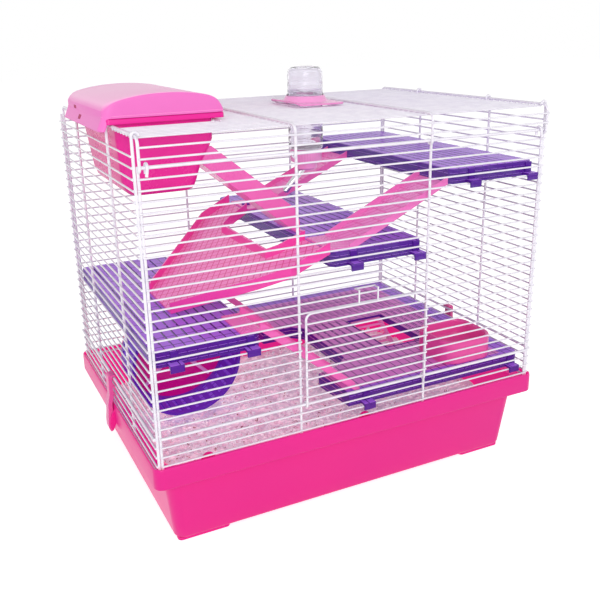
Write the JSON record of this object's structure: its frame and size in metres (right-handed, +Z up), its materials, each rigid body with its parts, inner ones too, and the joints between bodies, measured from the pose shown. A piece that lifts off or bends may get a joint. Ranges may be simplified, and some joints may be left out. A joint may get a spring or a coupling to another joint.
{
  "type": "small animal cage",
  "caption": "Wire cage on a deep pink tray, with purple shelves joined by pink ramps, a roof nest box, running wheel, water bottle, food bowl and a drop-down front door.",
  "frame": {"origin": "on the table, in the middle of the tray's feet", "axes": "+Z up, +X to the right seen from the front door, the front door's side towards -Y"},
  "size_m": [0.5166, 0.3626, 0.4923],
  "materials": {
    "tray_pink": "glossy hot pink",
    "bedding": "loose pale wood shavings with brown flecks",
    "white_wire": "glossy white powder coat",
    "tub_pink": "glossy magenta pink",
    "lid_pink": "glossy pale pink",
    "purple": "clear purple",
    "ramp_pink": "clear pink",
    "ladder_pink": "pale pink",
    "wheel_purple": "glossy purple",
    "wheel_magenta": "glossy magenta",
    "wheel_pale": "glossy light pink",
    "collar_pink": "glossy pink",
    "clear": "clear ribbed plastic",
    "steel": "polished steel",
    "clip_pink": "satin pink"
  },
  "bodies": {
    "cage": {"tray": "tray_pink", "bedding": "bedding", "front_grille": "white_wire", "back_grille": "white_wire", "left_grille": "white_wire", "right_grille": "white_wire", "roof_grille": "white_wire", "roof_hooks": "white_wire", "nest_tub": "tub_pink", "lid_pin": "tub_pink", "upper_shelf": "purple", "middle_shelf": "purple", "lower_shelf": "purple", "platform": "purple", "platform_ladder": "ladder_pink", "nest_ramp": "ramp_pink", "upper_back_ramp": "ramp_pink", "upper_front_ramp": "ramp_pink", "fan_ramp": "ramp_pink", "lower_back_ramp": "ramp_pink", "lower_front_ramp": "ramp_pink", "ramp_peg": "purple", "wheel_bracket": "wheel_magenta", "wheel_axle": "wheel_pale", "bottle_collar": "collar_pink"},
    "front_door": {"door_grille": "white_wire", "door_catch": "white_wire"},
    "nest_lid": {"nest_lid": "lid_pink"},
    "wheel": {"wheel_tread": "wheel_purple", "wheel_disc": "wheel_magenta", "wheel_spokes": "wheel_pale"},
    "bottle": {"bottle_body": "clear", "bottle_cap": "collar_pink", "bottle_spout": "steel", "spout_ball": "steel"},
    "food_bowl": {"food_bowl": "ramp_pink"},
    "side_clip_left": {"side_clip_left": "clip_pink"},
    "side_clip_right": {"side_clip_right": "clip_pink"}
  },
  "joints": [
    {"name": "door_hinge", "type": "hinge", "parent": "cage", "child": "front_door", "pos_m": [0.00275, -0.176, 0.14309], "axis": [1, 0, 0], "range_deg": [0, 110]},
    {"name": "lid_hinge", "type": "hinge", "parent": "cage", "child": "nest_lid", "pos_m": [-0.1191, -0.002, 0.45867], "axis": [0, 1, 0], "range_deg": [0, 75]},
    {"name": "wheel_spin", "type": "hinge", "parent": "cage", "child": "wheel", "pos_m": [-0.155, 0.042, 0.145], "axis": [0, 1, 0], "continuous": true},
    {"name": "bottle_lift", "type": "slide", "parent": "cage", "child": "bottle", "axis": [0, 0, 1], "range_m": [0, 0.08]},
    {"name": "bowl_lift", "type": "slide", "parent": "cage", "child": "food_bowl", "axis": [0, 0, 1], "range_m": [0, 0.06]},
    {"name": "left_clip_hinge", "type": "hinge", "parent": "cage", "child": "side_clip_left", "pos_m": [-0.2538, 0, 0.084], "axis": [0, -1, 0], "range_deg": [0, 50]},
    {"name": "right_clip_hinge", "type": "hinge", "parent": "cage", "child": "side_clip_right", "pos_m": [0.2538, 0, 0.084], "axis": [0, 1, 0], "range_deg": [0, 50]}
  ]
}
